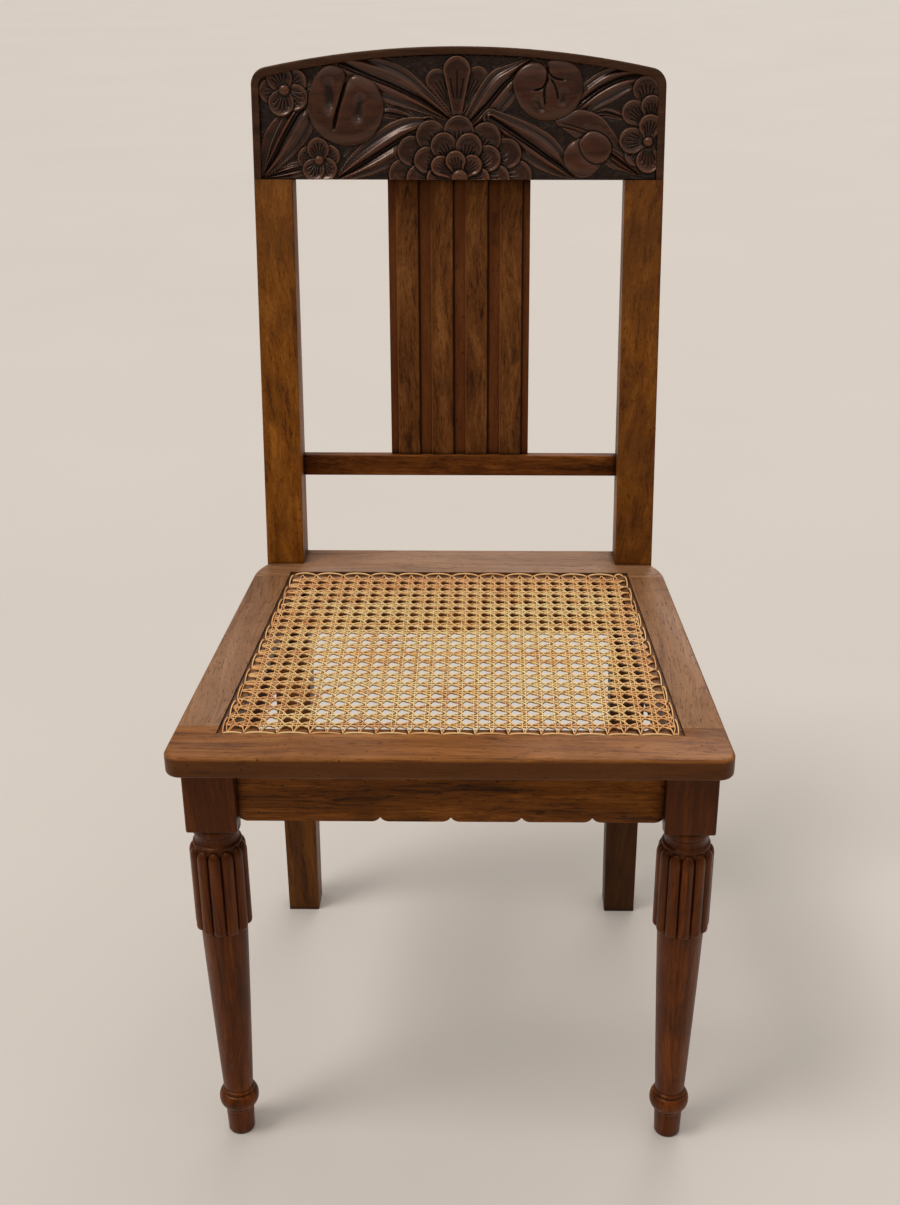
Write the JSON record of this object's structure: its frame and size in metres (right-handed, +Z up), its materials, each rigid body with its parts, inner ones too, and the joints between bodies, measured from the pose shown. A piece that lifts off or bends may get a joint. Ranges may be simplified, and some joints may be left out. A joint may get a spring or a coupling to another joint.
{
  "type": "side chair",
  "caption": "Wooden side chair with a woven cane seat, turned and reeded front legs, a fluted back splat and a crest rail with a recess for carving.",
  "frame": {"origin": "on the floor, below the middle of the chair's length, width and depth box", "axes": "+Z up, -Y towards the front of the seat, +Y towards the back, +X to the right of someone who faces the chair's front"},
  "size_m": [0.4778, 0.5177, 0.9583],
  "materials": {
    "polished_wood": "waxed brown hardwood with a soft sheen",
    "plain_wood": "unfinished wood",
    "cane": "split rattan cane, satin",
    "cane_binder": "split rattan cane, satin, slightly reddened",
    "steel": "plain steel screws"
  },
  "bodies": {
    "root": {"front_leg_left": "polished_wood", "front_leg_right": "polished_wood", "rear_post_left": "polished_wood", "rear_post_right": "polished_wood", "front_apron": "polished_wood", "rear_apron": "polished_wood", "side_apron_left": "polished_wood", "side_apron_right": "polished_wood", "seat_rail_front": "polished_wood", "seat_rail_rear": "polished_wood", "seat_rail_left": "polished_wood", "seat_rail_right": "polished_wood", "crest_rail": "polished_wood", "back_splat": "polished_wood", "lower_back_rail": "polished_wood", "corner_block_front_left": "plain_wood", "corner_block_front_right": "plain_wood", "corner_block_rear_left": "plain_wood", "corner_block_rear_right": "plain_wood", "seat_dowels": "plain_wood", "cane_front_to_back": "cane", "cane_side_to_side": "cane", "cane_diagonal_left": "cane", "cane_diagonal_right": "cane", "cane_binder": "cane_binder", "corner_block_screws": "steel"}
  },
  "joints": []
}
